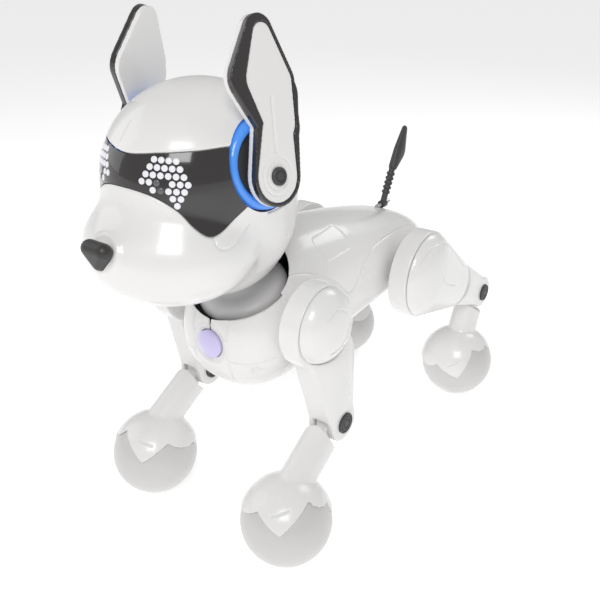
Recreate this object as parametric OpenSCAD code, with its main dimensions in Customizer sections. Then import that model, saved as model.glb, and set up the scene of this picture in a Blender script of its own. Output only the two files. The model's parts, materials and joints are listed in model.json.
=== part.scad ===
// Walking robot dog toy. Lengths in millimetres, +Z up, the dog faces -Y and its left side is +X.
// The origin is on the floor under the middle of the standing dog.

/* [Body] */
// Largest half width of the body shells
body_half_w = 39; // [37:0.5:40]
// Wall of every moulded shell
wall = 2.2; // [1.8:0.1:2.6]
// Y of the front of the chest
chest_y = -92; // [-95:1:-90]
// Y of the end of the rump
rump_y = 124; // [122:1:126]

/* [Neck] */
// Forward lean of the neck axis, degrees
neck_lean = 22; // [20:1:24]
// Radius of the round collar opening in the body
collar_r = 30; // [29:0.5:31]
// Distance along the neck from its foot to the nod pin
neck_l = 50; // [48:1:52]

/* [Ears] */
// Lean of each ear and its light ring towards the middle, degrees
ear_lean = 11; // [9:1:12]
// Outward turn of each ear, degrees
ear_toe = 8; // [4:1:10]

/* [Legs] */
// Distance of the foot centres from the middle plane
foot_x = 54.5; // [54:0.5:56]
// Radius of the ball-shaped feet
foot_r = 28; // [26:0.5:28]
// Radius of the hip output shafts
shaft_r = 3; // [2.5:0.1:3.2]
// Radius of the knee pins
pin_r = 3; // [2.5:0.1:3.2]
// Radius of the small wheels in the soles
roller_r = 8; // [7:0.5:8.5]

/* [Hidden] */

run_gap = 0.05;   // radial clearance of a shaft that turns in its bore
fit_gap = 0.02;   // radial clearance of a pin that is pressed in
part_gap = 0.3;   // gap between neighbouring mouldings

white = [0.94, 0.93, 0.92];
pale = [0.86, 0.85, 0.86];
black = [0.06, 0.06, 0.07];
steel = [0.72, 0.73, 0.75];

// ---------------------------------------------------------------- curves and surfaces

// Smooth curve through a table of [position, value] rows, with flat ends.
function slope(t, i) = i == 0 || i == len(t) - 1 ? 0
    : (t[i + 1][1] - t[i - 1][1]) / (t[i + 1][0] - t[i - 1][0]);
function row_of(t, x, i = 0) = i == len(t) - 2 || x < t[i + 1][0] ? i : row_of(t, x, i + 1);
function hermite(p, q, a, b, h, s) = p * (1 + 2 * s) * (1 - s) * (1 - s) + a * h * s * (1 - s) * (1 - s)
    + q * s * s * (3 - 2 * s) - b * h * s * s * (1 - s);
function curve(t, x) = x <= t[0][0] ? t[0][1] : x >= t[len(t) - 1][0] ? t[len(t) - 1][1]
    : let (i = row_of(t, x), h = t[i + 1][0] - t[i][0])
      hermite(t[i][1], t[i + 1][1], slope(t, i), slope(t, i + 1), h, (x - t[i][0]) / h);

// Closed skin over rings of points: every ring has the same count, and the two end rings are capped.
// A wall's rings run out along one face and back along the other, so its caps are strips.
module skin(rings, wall_ends = false) {
    m = len(rings);
    n = len(rings[0]);
    last = (m - 1) * n;
    points = [for (ring = rings) for (p = ring) p];
    sides = [for (i = [0 : m - 2]) for (j = [0 : n - 1])
        let (a = i * n + j, b = i * n + (j + 1) % n) each [[a, b, b + n], [a, b + n, a + n]]];
    flat_caps = [[for (j = [n - 1 : -1 : 0]) j], [for (j = [0 : n - 1]) last + j]];
    strips = [for (j = [0 : n / 2 - 2]) each
        [[j + 1, j, n - 1 - j], [j + 1, n - 1 - j, n - 2 - j],
         [last + j, last + j + 1, last + n - 2 - j], [last + j, last + n - 2 - j, last + n - 1 - j]]];
    polyhedron(points, concat(sides, wall_ends ? strips : flat_caps), convexity = 8);
}

// ---------------------------------------------------------------- body

// Height of the body's middle line, and its reach up and down from there, along Y
mid_table = [[-92, 124], [-60, 127], [-10, 130], [50, 132], [124, 131]];
up_table = [[-92, 34], [-58, 42], [-30, 46], [0, 44], [30, 38], [60, 31], [90, 24], [124, 20]];
down_table = [[-92, 34], [-58, 38], [-38, 39], [0, 36], [40, 33], [90, 30], [124, 26]];
wide_table = [[-92, 0.92], [-50, 1], [0, 0.985], [80, 0.97], [124, 0.88]];
// Height of the joint line between the back and the belly shell: it arches over the shoulder,
// dips behind it and climbs again over the hip
seam_table = [[-92, 150], [-60, 160], [-42, 159], [-20, 148], [-3, 134], [14, 147], [36, 153],
              [84, 150], [110, 141], [124, 131.2]];
chest_round = 36;
chest_square = 2.6;    // 2 is a round end, more is a squarer one
rump_round = 42;
seam_gap = 0.4;       // degrees that each shell stops short of the joint line

function end_round(y) = y < chest_y + chest_round
    ? pow(max(0, 1 - pow((chest_y + chest_round - y) / chest_round, chest_square)), 1 / chest_square)
    : y > rump_y - rump_round ? sqrt(max(0, 1 - pow((y - rump_y + rump_round) / rump_round, 2))) : 1;
function bulge(v) = sign(v) * pow(abs(v), 0.86);
// Point on the body at y and section angle a (0 = left side, 90 = top), t inside the outer skin
function body_at(y, a, t = 0) = let (c = end_round(y), m = curve(mid_table, y),
        w = max(0.3, body_half_w * curve(wide_table, y) * c - t),
        h = max(0.3, (a >= 0 && a <= 180 ? curve(up_table, y) : curve(down_table, y)) * c - t))
    [w * bulge(cos(a)), y, m + h * bulge(sin(a))];
// Section angle where the joint line crosses the skin at y
function seam_angle(y) = let (c = end_round(y), m = curve(mid_table, y), s = curve(seam_table, y) - m,
        h = max(0.5, curve(up_table, y) * c))
    asin(pow(min(y < -65 ? 0.9998 : 0.97, max(0.001, s / h)), 1 / 0.86));
// Rows of y, closer together at the rounded ends
function body_y(i, n, t) = let (u = (1 - cos(180 * i / n)) / 2, v = 0.55 * u + 0.45 * i / n)
    chest_y + t + 0.15 + (rump_y - chest_y - 2 * t - 0.3) * v;

// One half of the body wall: a = [from, to] in section angle beyond the joint line
module body_wall(top, rows = 28, cols = 14) {
    skin([for (i = [0 : rows]) let (y = body_y(i, rows, 0), yi = body_y(i, rows, wall),
            s = seam_angle(y) + (top ? seam_gap : -seam_gap), from = top ? s : 180 - s, to = top ? 180 - s : 360 + s)
        concat([for (j = [0 : cols]) body_at(y, from + (to - from) * j / cols)],
               [for (j = [cols : -1 : 0]) body_at(yi, from + (to - from) * j / cols, wall)])], true);
}

// The neck's own frame: origin at the foot of the neck, Z along the leaning axis
neck_base = [0, -57, 139.5];
module at_neck() { translate(neck_base) rotate([neck_lean, 0, 0]) children(); }
nod_at = neck_base + neck_l * [0, -sin(neck_lean), cos(neck_lean)];

// Everything above the collar's plane, and the round opening under it
collar_at = neck_base + 14 * [0, -sin(neck_lean), cos(neck_lean)];
module collar_cut() {
    translate(collar_at) rotate([neck_lean, 0, 0]) {
        translate([0, 0, -14]) cylinder(r = collar_r, h = 80, $fn = 64);
        translate([-60, -90, 0]) cube([120, 90, 60]);
    }
}

tail_at = [0, 97, 153];
lens_at = [0, -92, 125];
lens_r = 8.5;
door_x = 42;
door_y = [1, 56];
switch_y = -18;
switch_travel = 4;
bosses = [[27, -28], [19, 82]];    // [x, y] of the screw posts on the left side
boss_z = 122;
// Height of the belly's skin at the side distance x
function under(x, y) = let (c = end_round(y), k = pow(x / (body_half_w * curve(wide_table, y) * c), 1 / 0.86))
    curve(mid_table, y) - curve(down_table, y) * c * pow(1 - k * k, 0.43);

module screw_posts(r, from, to) {
    for (b = bosses, s = [-1, 1]) translate([s * b[0], b[1], from]) cylinder(r = r, h = to - from, $fn = 24);
}

module back_shell() color(white) difference() {
    union() {
        difference() {
            body_wall(true);
            collar_cut();
            translate([-60, chest_y - 5, 60]) cube([120, 30, 120]);
        }
        translate(tail_at + [0, 0, -6]) cylinder(r1 = 13, r2 = 9, h = 13, $fn = 48);
        intersection() {
            screw_posts(3.6, boss_z + 0.1, 175);
            body_core(0.6, 12, 20);
        }
    }
    translate(tail_at + [-6, -3.2, 0]) cube([12, 9.2, 20]);
    tail_pin_rod(1.5 + fit_gap);
    screw_posts(screw_r + fit_gap, boss_z - 1, boss_z + 8);
}

hips = [[-58, 139, -22], [64, 126, -6]];   // [y, z] of the front and the rear hip shafts, reach of the motor below
motor_in = 12;                    // inner end of each leg motor, from the middle plane
motor_out = 33;

module belly_shell() color(white) difference() {
    union() {
        difference() {
            body_wall(false);
            body_wall(true);
            collar_cut();
            translate([-door_x / 2 - part_gap, door_y[0] - part_gap, 80])
                cube([door_x + 2 * part_gap, door_y[1] - door_y[0] + 2 * part_gap, 30]);
        }
        intersection() {
            screw_posts(4.5, 90, boss_z);
            body_core(0.6, 12, 20);
        }
    }
    for (h = hips) translate([-60, h[0], h[1]]) rotate([0, 90, 0]) cylinder(r = shaft_r + 1, h = 120, $fn = 32);
    translate([0, lens_at[1] + 12, lens_at[2]]) rotate([90, 0, 0])
        cylinder(r = lens_r + part_gap, h = 30, $fn = 48);
    translate([-2.4, switch_y - 2.6, 80]) cube([4.8, switch_travel + 5.2, 30]);
    screw_posts(screw_r + fit_gap, 80, boss_z + 1);
    for (b = bosses, s = [-1, 1]) translate([s * b[0], b[1], 80])
        cylinder(r = screw_head_r + part_gap, h = screw_seat(b) - 80, $fn = 24);
}

// The body filled in, for cutting parts to its outer skin
module body_core(t, rows, cols) {
    skin([for (i = [0 : rows]) let (y = body_y(i, rows, t))
        [for (j = [0 : cols - 1]) body_at(y, 360 * j / cols, t)]]);
}

module battery_door() color(white) intersection() {
    difference() {
        body_core(0, 16, 24);
        body_core(wall, 16, 24);
    }
    translate([-door_x / 2, door_y[0], 80]) cube([door_x, door_y[1] - door_y[0], 30]);
}

cell_r = 7;
module battery_pack() color([0.20, 0.35, 0.62]) {
    for (x = [-14.6, 0, 14.6]) translate([x, 4, 114]) rotate([-90, 0, 0]) {
        cylinder(r = cell_r, h = 48, $fn = 32);
        translate([0, 0, 48]) cylinder(r = 2.7, h = 1.2, $fn = 24);
    }
}

board_z = 138;
module main_board() color([0.05, 0.35, 0.18]) {
    translate([-21, -18, board_z]) cube([42, 66, 1.6]);
    for (chip = [[-9, -6, 16], [-12, 18, 9], [4, 24, 10]])
        translate([chip[0], chip[1], board_z + 1.6]) cube([chip[2], chip[2] * 0.8, 1.4]);
    for (y = [-8, 4, 16]) translate([17, y, board_z + 1.6]) cylinder(r = 2.2, h = 6, $fn = 24);
}

module speaker() color([0.15, 0.15, 0.16]) translate([0, -38, 95]) {
    cylinder(r = 13, h = 3, $fn = 48);
    translate([0, 0, 3]) cylinder(r1 = 12, r2 = 7, h = 5, $fn = 48);
    translate([0, 0, 8]) cylinder(r = 7, h = 4, $fn = 32);
}

// Sealed gear motor with its output boss at each hip; the hip shaft turns in the boss
module leg_motor(h) translate([0, h[0], h[1]]) difference() {
    union() {
        translate([motor_in, -9, h[2]]) cube([18, 18, 25]);
        translate([motor_in, 0, 0]) rotate([0, 90, 0]) cylinder(r = 6, h = motor_out - motor_in, $fn = 32);
    }
    translate([motor_in + 2, 0, 0]) rotate([0, 90, 0]) cylinder(r = shaft_r + run_gap, h = 40, $fn = 48);
}
module leg_motors() color([0.55, 0.56, 0.58]) {
    for (h = hips) {
        leg_motor(h);
        mirror([1, 0, 0]) leg_motor(h);
    }
}

spigot_r = 5;
module neck_motor() color([0.55, 0.56, 0.58]) at_neck() {
    translate([-10, -9, -24]) cube([20, 18, 18]);
    translate([0, 0, -6]) cylinder(r = 8, h = 5, $fn = 32);
    translate([0, 0, -1]) cylinder(r = spigot_r, h = 14, $fn = 48);
}

module chest_light() color([0.72, 0.66, 0.92]) translate(lens_at) rotate([90, 0, 0]) {
    intersection() {
        translate([0, 0, -19]) sphere(r = 21, $fn = 64);
        translate([0, 0, -9]) cylinder(r = lens_r, h = 20, $fn = 48);
    }
}

screw_r = 1.25;
screw_head_r = 2.6;
function screw_seat(b) = under(b[0], b[1]) + 5;
module body_screws() color(steel) for (b = bosses, s = [-1, 1]) translate([s * b[0], b[1], screw_seat(b)]) {
    cylinder(r = screw_r, h = boss_z + 7 - screw_seat(b), $fn = 24);
    translate([0, 0, -1.8]) cylinder(r = screw_head_r, h = 1.8, $fn = 32);
}

// The pin that the tail wags on runs front to back through its socket
module tail_pin_rod(r, l = 40) translate(tail_at + [0, -l / 2, 3]) rotate([-90, 0, 0]) cylinder(r = r, h = l, $fn = 32);
module tail_pin() color(steel) tail_pin_rod(1.5, 17);

module power_switch() color(black) translate([0, switch_y, under(0, switch_y)]) {
    translate([-3.5, -3.6, wall + 1.8]) cube([7, 7.2, 3]);
    translate([-2, -2.2, -0.8]) cube([4, 4.4, wall + 3]);
}

// ---------------------------------------------------------------- tail

// The tail stem leans back from its socket; its foot is an eye on the pin
stem_lean = 26;
stem_l = 26;
module along_tail() { translate(tail_at + [0, 0, 3]) rotate([-stem_lean, 0, 0]) children(); }
module tail_stem() color(black) difference() {
    union() {
        translate(tail_at + [0, -2.6, 3]) rotate([-90, 0, 0]) cylinder(r = 2.8, h = 5.2, $fn = 32);
        along_tail() {
            cylinder(r = 2.2, h = stem_l, $fn = 24);
            for (k = [0 : 4]) translate([0, 0, 8 + 3.4 * k]) cylinder(r = 3, h = 1.8, $fn = 32);
        }
    }
    tail_pin_rod(1.5 + run_gap);
}

// Leaf-shaped cover on the end of the tail
module tail_cover() color(black) along_tail() translate([0, 0, stem_l]) difference() {
    hull() {
        translate([0, 0.5, 2]) sphere(r = 3.2, $fn = 24);
        translate([0, 3.5, 14]) scale([0.55, 1, 1.3]) sphere(r = 6.4, $fn = 32);
        translate([0, 2.5, 30]) scale([0.6, 1, 1]) sphere(r = 3, $fn = 24);
    }
    translate([0, 0, -4]) cylinder(r = 2.2 + fit_gap, h = 4.1, $fn = 24);
}

// ---------------------------------------------------------------- neck

// Bell-shaped neck: it turns on the motor's spigot and carries the nod pin at its top
module neck_column() color(pale) difference() {
    at_neck() difference() {
        rotate_extrude($fn = 64) polygon([[0, -0.7], [9, -0.7], [9, 7.7], [26.5, 8.5], [26.5, 11], [25, 14], [21.5, 16],
            [15.5, 18.5], [13.5, 24], [13, 38], [8.5, neck_l + 5], [8, neck_l + 7], [0, neck_l + 7]]);
        translate([0, 0, -2]) cylinder(r = spigot_r + run_gap, h = 18, $fn = 48);
        for (s = [-1, 1]) translate([s * 20 - 12, -20, neck_l - 11]) cube([24, 40, 20]);
    }
    translate(nod_at - [20, 0, 0]) rotate([0, 90, 0]) cylinder(r = pin_r + fit_gap, h = 40, $fn = 48);
}
module neck_pin() color(steel) translate(nod_at - [23, 0, 0]) rotate([0, 90, 0])
    cylinder(r = pin_r, h = 46, $fn = 48);

// ---------------------------------------------------------------- head

// The head is a smooth blend of four ovals round its centre: skull, jowls, jaw and muzzle.
// Each row is [centre y, centre z, half width, half depth, half height].
head_at = [0, -87, 206];
ovals = [[-90, 227.5, 46, 51.5, 45], [-77, 202, 39, 44.5, 47], [-115.5, 194, 45.5, 39.5, 28],
         [-115, 201, 17, 37, 15]];
blend = 8;
function out_of(o, d) = let (a = pow(d[0] / o[2], 2) + pow(d[1] / o[3], 2) + pow(d[2] / o[4], 2),
        p = (head_at[1] - o[0]) / o[3], q = (head_at[2] - o[1]) / o[4],
        b = d[1] / o[3] * p + d[2] / o[4] * q, c = p * p + q * q - 1)
    (-b + sqrt(b * b - a * c)) / a;
function head_r(d) = pow(out_of(ovals[0], d) ^ blend + out_of(ovals[1], d) ^ blend
    + out_of(ovals[2], d) ^ blend + out_of(ovals[3], d) ^ blend, 1 / blend);
// Point on the head: lon = 0 at the nose and 90 at the left ear, lat = 90 at the crown
function head_dir(lon, lat) = [sin(lon) * cos(lat), -cos(lon) * cos(lat), sin(lat)];
function head_pt(lon, lat, t = 0) = let (d = head_dir(lon, lat)) head_at + d * (head_r(d) - t);

// Latitude of the top and the bottom edge of the visor against longitude, and of the seam behind it
visor_top = [[0, 38.5], [20, 40.5], [40, 42.5], [62, 44.5], [80, 43]];
visor_low = [[0, 24.5], [10, 24], [20, 21.8], [30, 16.5], [38, 8.5], [45, 4], [52, 5.5], [60, 10.5], [70, 17], [80, 24]];
visor_end = 78;
seam_lat = 8;
function dome_edge(lon) = let (l = abs(lon)) l < visor_end ? curve(visor_top, l)
    : l < 86 ? curve(visor_top, visor_end) + (seam_lat - curve(visor_top, visor_end)) * (l - visor_end) / 8 : seam_lat;
function jaw_edge(lon) = let (l = abs(lon)) l < visor_end ? curve(visor_low, l)
    : l < 86 ? curve(visor_low, visor_end) + (seam_lat - curve(visor_low, visor_end)) * (l - visor_end) / 8 : seam_lat;

// Shell between two latitudes given as functions' values, all the way round
module head_band(low, high, rows, lons, t0 = 0, t1 = wall) {
    n = len(lons);
    skin([for (i = [0 : n - 1]) let (lon = lons[i], a = low[i], b = high[i])
        concat([for (j = [0 : rows]) head_pt(lon, a + (b - a) * j / rows, t0)],
               [for (j = [rows : -1 : 0]) head_pt(lon, a + (b - a) * j / rows, t1)])], true);
}
// Ring-shaped shell that closes on itself at the crown or the chin
module head_cap(edge, pole, rows = 10, cols = 48) {
    side = [for (i = [0 : rows]) i / rows];
    outer = [for (u = side) [for (k = [0 : cols - 1]) let (lon = 360 * k / cols - 180, e = edge[k])
        head_pt(lon, e + (pole - e) * u * 0.985)]];
    inner = [for (u = side) [for (k = [0 : cols - 1]) let (lon = 360 * k / cols - 180, e = edge[k])
        head_pt(lon, e + (pole - e) * u * 0.985, wall)]];
    rings = concat([for (i = [rows : -1 : 0]) outer[i]], [for (i = [0 : rows]) inner[i]]);
    skin(pole > 0 ? rings : [for (i = [len(rings) - 1 : -1 : 0]) rings[i]]);
}
function edges_round(top, cols = 48) = [for (k = [0 : cols - 1]) let (lon = 360 * k / cols - 180)
    top ? dome_edge(lon) + 0.25 : jaw_edge(lon) - 0.25];

// Ear frame: origin on the hub's axis at the inner face of the blade, Z outward, Y up, X rearwards.
// The light ring and its bezel lean with the ear, just inside the blade.
hub_at = [45.5, -89, 231];
pod_up = 6;         // height of the ring's middle above the hub
module at_ear(s) {
    mirror([s < 0 ? 1 : 0, 0, 0]) translate(hub_at)
        rotate([0, 0, -ear_toe]) rotate([0, -ear_lean, 0]) rotate([90, 0, 90]) children();
}
module pods(r, from, to) {
    for (s = [-1, 1]) at_ear(s) translate([0, pod_up, from]) cylinder(r = r, h = to - from, $fn = 64);
}
nod_boss_r = 6.5;
module head_dome() color(white) difference() {
    head_cap(edges_round(true), 90);
    pods(ring_r + 0.6, -20, 20);
}
module jaw_shell() color(white) difference() {
    union() {
        difference() {
            head_cap(edges_round(false), -90);
            pods(ring_r + 0.6, -20, 20);
            neck_opening();
            nose_seat();
        }
        intersection() {
            for (s = [-1, 1]) translate([s * 24.2, nod_at[1], nod_at[2]]) rotate([0, 90, 0])
                cylinder(r = nod_boss_r, h = 30, center = true, $fn = 32);
            translate([0, ovals[1][0], ovals[1][1]]) scale([ovals[1][2] - 0.8, ovals[1][3] - 0.8, ovals[1][4] - 0.8])
                sphere(r = 1, $fn = 64);
        }
    }
    translate(nod_at - [24, 0, 0]) rotate([0, 90, 0]) cylinder(r = pin_r + run_gap, h = 48, $fn = 48);
}
// The hole in the chin that the neck passes through, long enough for the nod
module neck_opening() {
    translate(nod_at) rotate([neck_lean, 0, 0]) translate([0, 0, -45]) scale([1, 1.2, 1]) cylinder(r = 20, h = 26, $fn = 40);
}
nose_at = [0, -158.6, 203];
module nose_shape(grow = 0, fn = 24) hull() {
    for (s = [-1, 1]) translate(nose_at + [s * 4.6, -1.2, 2.6]) sphere(r = 4.2 + grow, $fn = fn);
    translate(nose_at + [0, -0.6, -4.2]) sphere(r = 3.4 + grow, $fn = fn);
}
module nose_seat() {
    nose_shape(0.15, 20);
    translate(nose_at) rotate([-90, 0, 0]) cylinder(r = 3.8 + 0.15, h = 12, $fn = 32);
}

lons_front = [for (k = [0 : 32]) visor_end * (k / 16 - 1)];
module visor() color(black) difference() {
    head_band([for (l = lons_front) curve(visor_low, abs(l)) + 0.25],
              [for (l = lons_front) curve(visor_top, abs(l)) - 0.25], 6, lons_front, 0.4, wall);
    pods(ring_r + 0.6, -20, 20);
}

module nose() color(black) union() {
    nose_shape();
    translate(nose_at) rotate([-90, 0, 0]) cylinder(r = 3.8, h = 7, $fn = 32);
}

eye_dir = [24, 28.5];
module eye_board() color([0.05, 0.35, 0.18]) for (s = [-1, 1])
    translate(head_at) rotate([0, 0, s * eye_dir[0]]) rotate([-eye_dir[1], 0, 0])
        translate([0, -48, 0]) rotate([90, 0, 0]) cylinder(r = 12, h = 1.6, $fn = 48);

// Round lamps of each eye in three rings, set in the face of the visor
eye_pitch = 3.6;
lamp_r = 1.5;
module eye_leds() color([0.9, 0.9, 0.95]) for (s = [-1, 1]) {
    for (q = [-3 : 3], w = [-3 : 3]) if (abs(q + w) <= 3 && (q != 0 || w != 0)) {
        u = eye_pitch * (q + w / 2);
        v = eye_pitch * w * sqrt(3) / 2;
        lon = s * (eye_dir[0] + u / 0.92);
        lat = eye_dir[1] + v;
        out = cross(head_pt(lon + 1, lat, 0) - head_pt(lon - 1, lat, 0), head_pt(lon, lat + 1, 0) - head_pt(lon, lat - 1, 0));
        if (lat - curve(visor_low, abs(lon)) > 2.2) translate(head_pt(lon, lat, 0.24))
            rotate([0, acos(out[2] / norm(out)), atan2(out[1], out[0])]) cylinder(r = lamp_r, h = 0.4, $fn = 16);
    }
}

ring_r = 22.5;
module ear_light_rings() color([0.10, 0.25, 0.75]) for (s = [-1, 1])
    at_ear(s) translate([0, pod_up, 0]) rotate_extrude($fn = 72) translate([ring_r - 3, 0])
        polygon([[-2.5, -9.8], [2.6, -9.8], [2.6, -3.8], [1.6, -1.6], [0, -0.8], [-1.6, -1.4], [-2.5, -2.8]]);

module ear_bezels() color(black) difference() {
    union() {
        pods(ring_r - 5.8, -11, -3);
        pods(ring_r - 1, -13, -10);
    }
    for (s = [-1, 1]) at_ear(s) translate([0, 0, -20]) cylinder(r = ear_shaft_r + run_gap, h = 30, $fn = 48);
}

// ---------------------------------------------------------------- ears

ear_shaft_r = 3;
ear_back = 2.5;     // thickness of the ear's inner shell
ear_t = 6;
// Outline of the ear: [x rearwards, y up, radius] of the circles that it runs round
ear_leaf = [[1.5, 65, 8], [-8.5, 46, 10.5], [8.5, 42, 10.5], [6.5, 22, 12]];
ear_stalk = [[0, 0, 14.5], [4, 20, 13], [8, 36, 12]];
panel_leaf = [[3, 63.5, 5.6], [-1.5, 45, 8.8], [9.2, 42, 8.2], [6.5, 24, 9.6]];
panel_stalk = [[0, 0, 12.6], [4, 20, 9.8]];
module round_the(circles, grow = 0) hull() for (c = circles) translate([c[0], c[1]])
    circle(r = c[2] + grow, $fn = 40);
module ear_outline(grow = 0) {
    round_the(ear_leaf, grow);
    round_the(ear_stalk, grow);
}
module panel_outline(grow = 0) {
    round_the(panel_leaf, grow);
    round_the(panel_stalk, grow);
}
module ear_shell(s) color(white) at_ear(s) difference() {
    linear_extrude(ear_back) ear_outline();
    translate([0, 0, -1]) cylinder(r = ear_shaft_r + fit_gap, h = 6, $fn = 48);
}
module ear_frame(s) color(black) at_ear(s) translate([0, 0, ear_back]) linear_extrude(ear_t - ear_back) difference() {
    ear_outline();
    panel_outline(0.2);
}
module ear_panel(s) color(pale) at_ear(s) difference() {
    translate([0, 0, ear_back]) linear_extrude(ear_t - ear_back - 0.5) panel_outline();
    translate([0, 0, 1]) cylinder(r = ear_shaft_r + fit_gap, h = 8, $fn = 48);
    rotate([0, 0, -5]) translate([-0.8, 11, ear_t - 1.4]) cube([1.6, 26, 5]);
}
module ear_pin(s) color(black) at_ear(s) {
    translate([0, 0, -8]) cylinder(r = ear_shaft_r, h = 8 + ear_t - 0.5, $fn = 48);
    translate([0, 0, ear_t - 0.5]) cylinder(r = 4.4, h = 1.6, $fn = 32);
}

// ---------------------------------------------------------------- legs

// Each leg: [hip y, hip z, knee y, knee z, foot centre y, forward pitch of the foot cover]
front_leg = [-58, 139, -45, 70, -93, 0];
rear_leg = [64, 126, 152, 80, 132, 28];
toe_turn = 30;      // the pointed edge of every foot cover faces this far to the dog's left
foot_z = foot_r - 1.7;
leg_in = 43;        // inner face of the thighs
leg_mid = 53.5;     // middle plane of the knees
knee_half = 9.2;    // half width of the knee fork
lug_w = 9;          // width of the shin's knee lug
knee_r = 12;

module side(s) { mirror([s < 0 ? 1 : 0, 0, 0]) children(); }
module rod_x(p, r, from, to, fn = 48) translate([from, p[0], p[1]]) rotate([0, 90, 0]) cylinder(r = r, h = to - from, $fn = fn);
function hip_of(leg) = [leg[0], leg[1]];
function knee_of(leg) = [leg[2], leg[3]];
module pillow(p, r, x, h, fn = 32) translate([x, p[0], p[1]]) scale([h / r, 1, 1]) sphere(r = r, $fn = fn);

// Inner half of the thigh, from the hip disc to the fork that holds the shin's lug.
// bulges: [y, z, radius, half thickness] of the swellings between the hip and the knee
module thigh_frame(s, leg, hip_r, bulges) color(pale) side(s) difference() {
    union() {
        rod_x(hip_of(leg), 15, 39.6, leg_in, 48);
        rod_x(hip_of(leg), hip_r, leg_in, 56, 64);
        hull() {
            rod_x(hip_of(leg), hip_r * 0.72, leg_in + 0.4, 55.6, 32);
            for (b = bulges) pillow([b[0], b[1]], b[2], leg_mid, b[3], 24);
            rod_x(knee_of(leg), knee_r - 1, leg_mid - knee_half + 1, leg_mid + knee_half - 1, 32);
        }
        rod_x(knee_of(leg), knee_r, leg_mid - knee_half, leg_mid + knee_half, 48);
    }
    rod_x(knee_of(leg), knee_r + 1.2, leg_mid - lug_w / 2 - part_gap, leg_mid + lug_w / 2 + part_gap, 48);
    knee_slot(leg);
    cover_pocket(leg);
    rod_x(knee_of(leg), pin_r + fit_gap, leg_mid - 20, leg_mid + 20);
    rod_x(hip_of(leg), shaft_r + fit_gap, leg_in - 10, 54);
}
// Flat seat of the thigh's cover
module cover_pocket(leg) hull() for (c = leg[4] < 0 ? front_seat : rear_seat)
    rod_x([c[0], c[1]], c[2] + 0.3, 56, 80, 32);
front_seat = [[-60, 141, 22]];
rear_seat = [[64, 126, 29], [64 + 0.48 * 88, 126 - 0.48 * 46, 19]];
front_bulges = [[-47, 110, 20, 10], [-45, 90, 15.5, 10]];
rear_bulges = [[116, 101, 16, 10], [134, 91, 12, 9.5]];
// Room for the shin below and on both sides of the knee
module knee_slot(leg) translate([leg_mid - lug_w / 2 - 2 * part_gap, leg[2], leg[3]])
    rotate([leg[4] < 0 ? -20 : 10, 0, 0]) translate([0, -16, -30]) cube([lug_w + 4 * part_gap, 32, 30]);

// Outer cover of the thigh: a domed disc in front, an egg-shaped pillow behind
module front_cover(s) color(white) side(s) intersection() {
    pillow(front_seat[0], front_seat[0][2], 56, 14, 48);
    translate([56.3, -100, 60]) cube([30, 100, 120]);
}
module rear_cover(s) color(white) side(s) intersection() {
    hull() {
        pillow(rear_seat[0], rear_seat[0][2], 55, 14, 32);
        pillow(rear_seat[1], rear_seat[1][2], 56, 10, 24);
    }
    translate([56.3, 0, 60]) cube([30, 160, 120]);
}

module hip_shaft(s, leg) color(steel) side(s) rod_x(hip_of(leg), shaft_r, motor_in + 3, 53.5);
module knee_pin(s, leg) color(black) side(s) {
    rod_x(knee_of(leg), pin_r, leg_mid - knee_half, leg_mid + knee_half);
    for (x = [-knee_half - 1.6, knee_half]) rod_x(knee_of(leg), 6.5, leg_mid + x, leg_mid + x + 1.6, 40);
}

// Shin and the upper half of the foot, one moulding
module shin(s, leg) color(white) side(s) difference() {
    union() {
        rod_x(knee_of(leg), 10.6, leg_mid - lug_w / 2, leg_mid + lug_w / 2, 48);
        difference() {
            hull() {
                translate(knee_at(leg) + shin_dir(leg) * 14) sphere(r = 10.6, $fn = 24);
                translate(foot_at(leg) + [0, 0, 16]) sphere(r = 10.6, $fn = 24);
            }
            rod_x(knee_of(leg), knee_r + 3.6, leg_mid - 20, leg_mid + 20, 48);
            translate(foot_at(leg)) sphere(r = foot_r - 1.5, $fn = 32);
        }
        hull() {
            rod_x(knee_of(leg), 6, leg_mid - lug_w / 2, leg_mid + lug_w / 2, 24);
            translate(knee_at(leg) + shin_dir(leg) * 19) sphere(r = 4.2, $fn = 16);
        }
        difference() {
            translate(foot_at(leg)) sphere(r = foot_r, $fn = 64);
            translate(foot_at(leg)) sphere(r = foot_r - 2.4, $fn = 64);
            foot_cut(s, leg, 0);
        }
    }
    rod_x(knee_of(leg), pin_r + run_gap, leg_mid - 20, leg_mid + 20);
}
function foot_at(leg) = [foot_x, leg[4], foot_z];
function knee_at(leg) = [leg_mid, leg[2], leg[3]];
function shin_dir(leg) = let (d = foot_at(leg) + [0, 0, 16] - knee_at(leg)) d / norm(d);
// Everything under the foot cover's edge: it comes to a point at the toes and rises to a corner each side
module foot_cut(s, leg, gap) translate(foot_at(leg)) rotate([leg[5], 0, 0]) rotate([0, 0, s * toe_turn])
    translate([0, 0, -gap]) {
        rotate([90, 0, 0]) linear_extrude(45) polygon([[-45, -60], [45, -60], [45, 12], [27, 12], [14, 22], [0, 10],
                                                       [-14, 18], [-27, 9], [-45, 9]]);
        translate([-45, -0.1, -60]) cube([90, 45, 67.5]);
    }

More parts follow.
